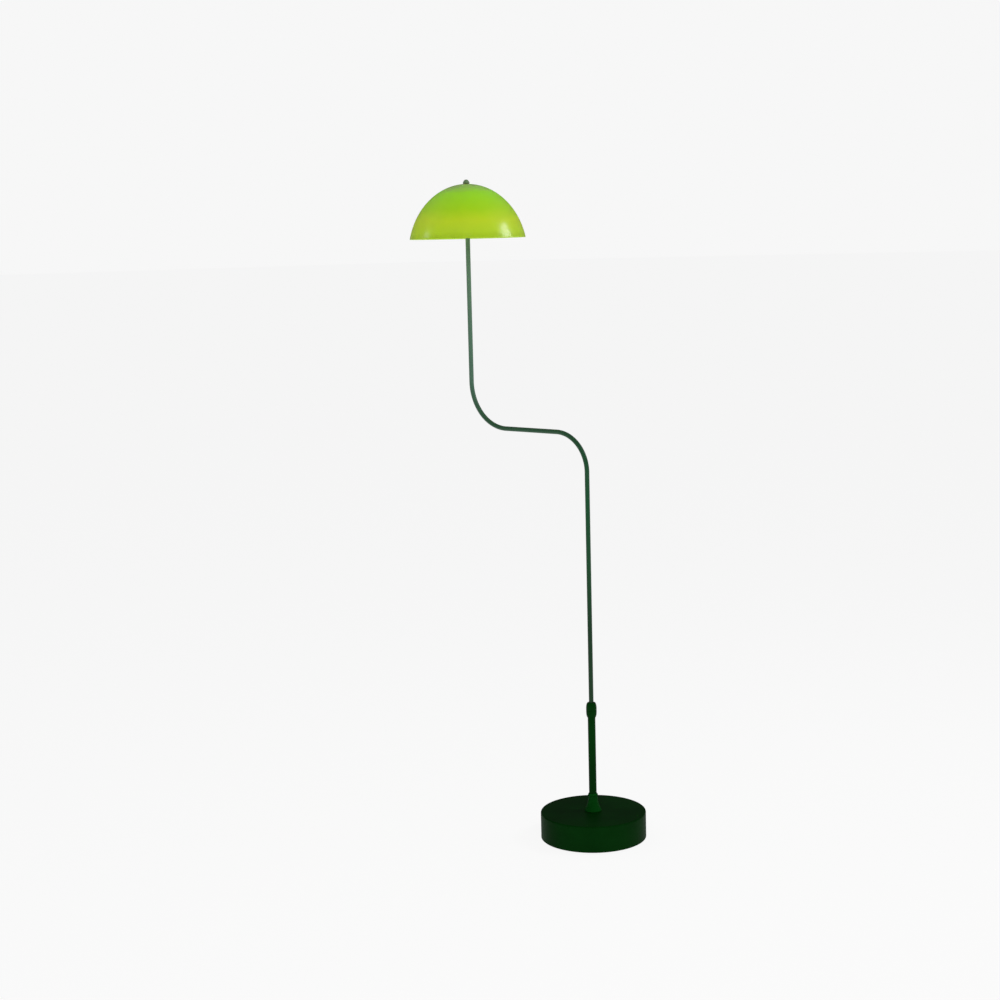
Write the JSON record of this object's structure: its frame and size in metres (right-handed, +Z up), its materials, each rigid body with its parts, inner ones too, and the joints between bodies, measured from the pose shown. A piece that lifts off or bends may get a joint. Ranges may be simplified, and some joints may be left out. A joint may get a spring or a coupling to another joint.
{
  "type": "adjustable arm floor lamp",
  "caption": "Floor lamp with a weighted drum base, a clamped telescopic post, an S-bent swinging arm tube and a green dome shade held by a finial.",
  "frame": {"origin": "on the post's axis at the underside of the foot pad, where the lamp meets the floor", "axes": "+Z up along the post, -X along the arm's horizontal run towards the shade, +Y towards the cord outlet at the back of the base"},
  "size_m": [0.625, 0.28, 1.5602],
  "materials": {
    "base_paint": "deep green gloss enamel",
    "arm_paint": "deep green satin enamel",
    "finial_paint": "grey green enamel",
    "shade_acrylic": "translucent lime green acrylic, polished",
    "felt": "black felt",
    "cast_iron": "as cast",
    "zinc_steel": "zinc plated",
    "brass": "lacquered",
    "nylon": "natural nylon",
    "black_rubber": "moulded rubber",
    "lead_sheath": "flexible sheath",
    "insulating_fibre": "pressed fibre",
    "phenolic": "black phenolic",
    "cap_aluminium": "drawn",
    "opal_glass": "opal white, lit"
  },
  "bodies": {
    "base": {"foot_pad": "felt", "bottom_plate": "zinc_steel", "base_weight": "cast_iron", "plate_screw_1": "zinc_steel", "plate_screw_2": "zinc_steel", "plate_screw_3": "zinc_steel", "base_shell": "base_paint", "cord_grommet": "black_rubber", "base_lead": "lead_sheath", "post_tube": "base_paint", "post_nut": "zinc_steel", "post_washer": "zinc_steel", "spacer_sleeve": "zinc_steel", "post_hub": "base_paint", "collar_body": "base_paint", "collet": "nylon"},
    "collar_nut": {"collar_nut": "base_paint"},
    "guide": {"guide_bush": "nylon"},
    "arm": {"arm_tube": "arm_paint", "arm_lead": "lead_sheath", "bush_stop_ring": "zinc_steel", "bush_clip": "zinc_steel", "tube_nipple": "brass", "harp_saddle": "brass", "saddle_nut": "brass", "harp": "brass", "harp_seat": "brass", "socket_cap": "brass", "socket_shell": "brass", "socket_liner": "insulating_fibre", "socket_core": "phenolic", "screw_shell": "brass", "centre_contact": "brass", "bulb_tip": "phenolic", "bulb_cap": "cap_aluminium", "light_module": "nylon", "bulb_globe": "opal_glass", "shade_washer": "black_rubber", "shade": "shade_acrylic"},
    "switch_key": {"switch_key": "phenolic"},
    "ferrule_left": {"harp_ferrule_left": "brass"},
    "ferrule_right": {"harp_ferrule_right": "brass"},
    "finial_washer": {"finial_washer": "brass"},
    "finial": {"finial": "finial_paint"}
  },
  "joints": [
    {"name": "collar_twist", "type": "hinge", "parent": "base", "child": "collar_nut", "pos_m": [0, 0, 0.318], "axis": [0, 0, 1], "range_deg": [0, 270]},
    {"name": "height_slide", "type": "slide", "parent": "base", "child": "guide", "axis": [0, 0, 1], "range_m": [-0.1, 0.12]},
    {"name": "arm_swing", "type": "hinge", "parent": "guide", "child": "arm", "pos_m": [0, 0, 0.164], "axis": [0, 0, 1], "range_deg": [-170, 170]},
    {"name": "switch_turn", "type": "hinge", "parent": "arm", "child": "switch_key", "pos_m": [-0.36, 0, 1.4535], "axis": [1, 0, 0], "continuous": true},
    {"name": "ferrule_left_lift", "type": "slide", "parent": "arm", "child": "ferrule_left", "axis": [0, 0, 1], "range_m": [0, 0.007]},
    {"name": "ferrule_right_lift", "type": "slide", "parent": "arm", "child": "ferrule_right", "axis": [0, 0, 1], "range_m": [0, 0.007]},
    {"name": "finial_lift", "type": "slide", "parent": "arm", "child": "finial_washer", "axis": [0, 0, 1], "range_m": [0, 0.003]},
    {"name": "finial_turn", "type": "hinge", "parent": "finial_washer", "child": "finial", "pos_m": [-0.36, 0, 1.557], "axis": [0, 0, 1], "range_deg": [0, 1080]}
  ],
  "couplings": [
    {"joint": "finial_lift", "follows": "finial_turn", "m_per_rad": 0.00015915}
  ]
}
